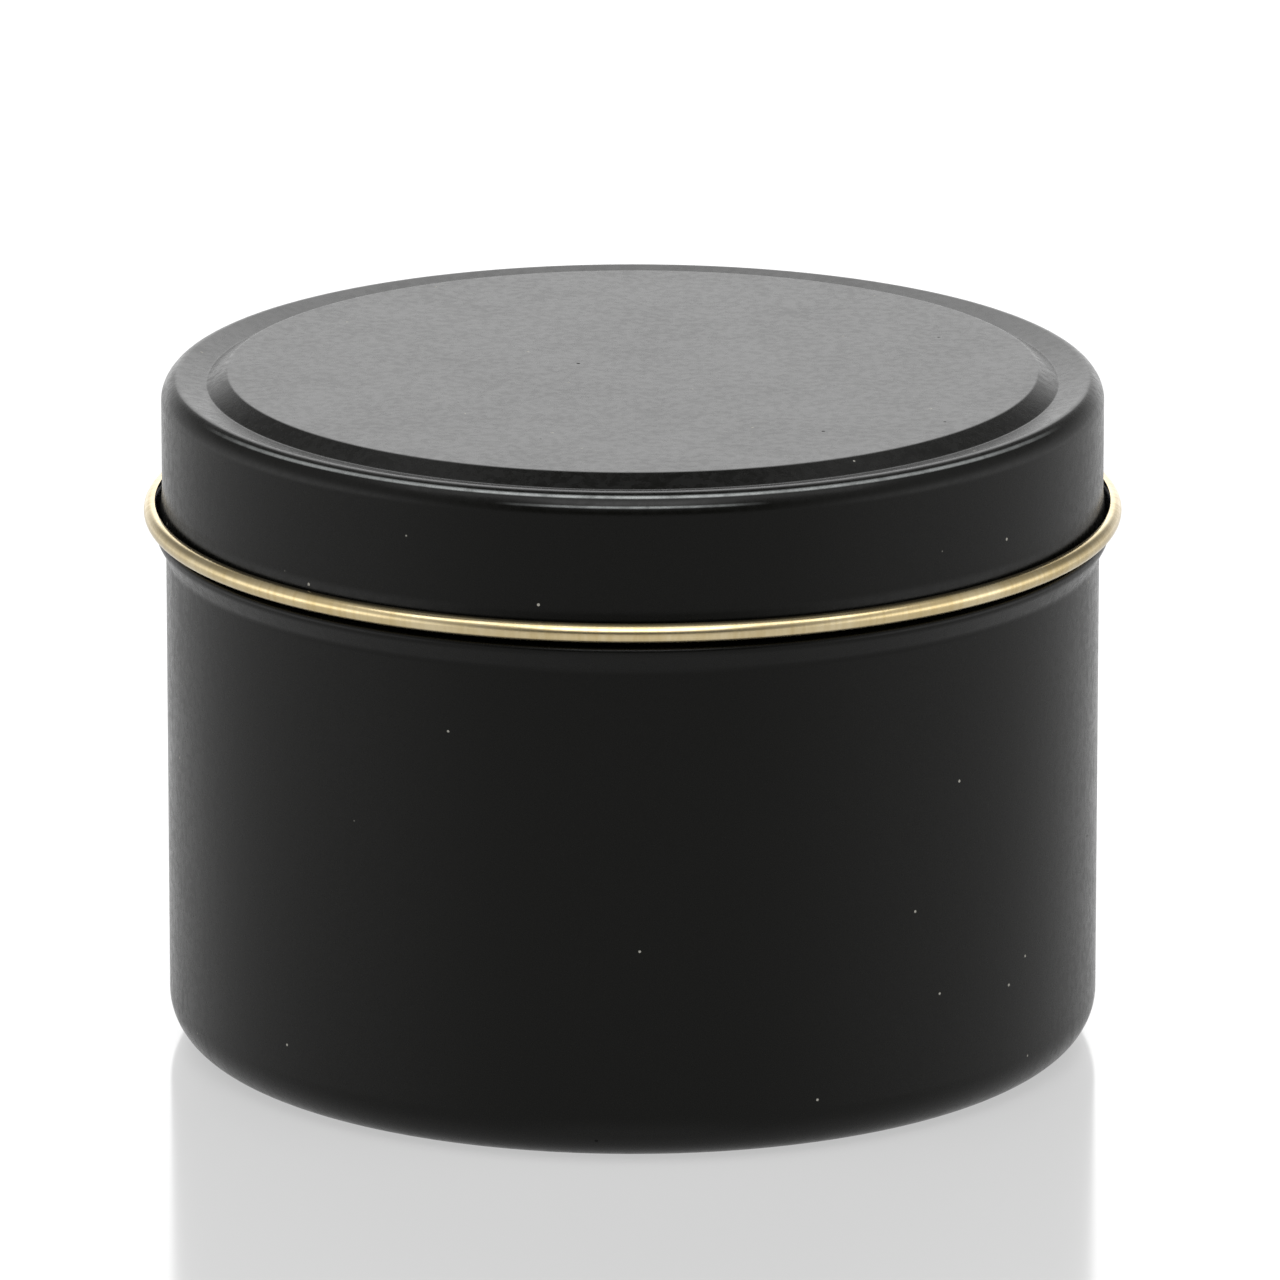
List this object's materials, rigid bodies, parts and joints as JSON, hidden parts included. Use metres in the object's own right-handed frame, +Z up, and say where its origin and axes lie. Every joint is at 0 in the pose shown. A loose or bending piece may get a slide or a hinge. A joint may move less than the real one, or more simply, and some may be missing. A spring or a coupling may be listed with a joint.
{
  "type": "candle tin",
  "caption": "Round slip-lid candle tin of thin drawn sheet: black lacquer outside, gold inside, raised lid panel, open outward curl round the lid, rolled rim.",
  "frame": {"origin": "centre of the base's standing ring, on the surface the tin stands on", "axes": "+Z up along the axis of the tin, the way the lid lifts; +X and +Y across it, in any direction, because the tin is turned"},
  "size_m": [0.08, 0.08, 0.0562],
  "materials": {
    "body_lacquer": "satin black lacquer outside, gold lacquer inside, on tinplate",
    "lid_lacquer": "matt black lacquer outside, gold lacquer inside and on the curled edge, on tinplate"
  },
  "bodies": {
    "tin": {"tin_body": "body_lacquer"},
    "lid": {"lid": "lid_lacquer"}
  },
  "joints": [
    {"name": "lid_lift", "type": "slide", "parent": "tin", "child": "lid", "axis": [0, 0, 1], "range_m": [0, 0.04]}
  ]
}
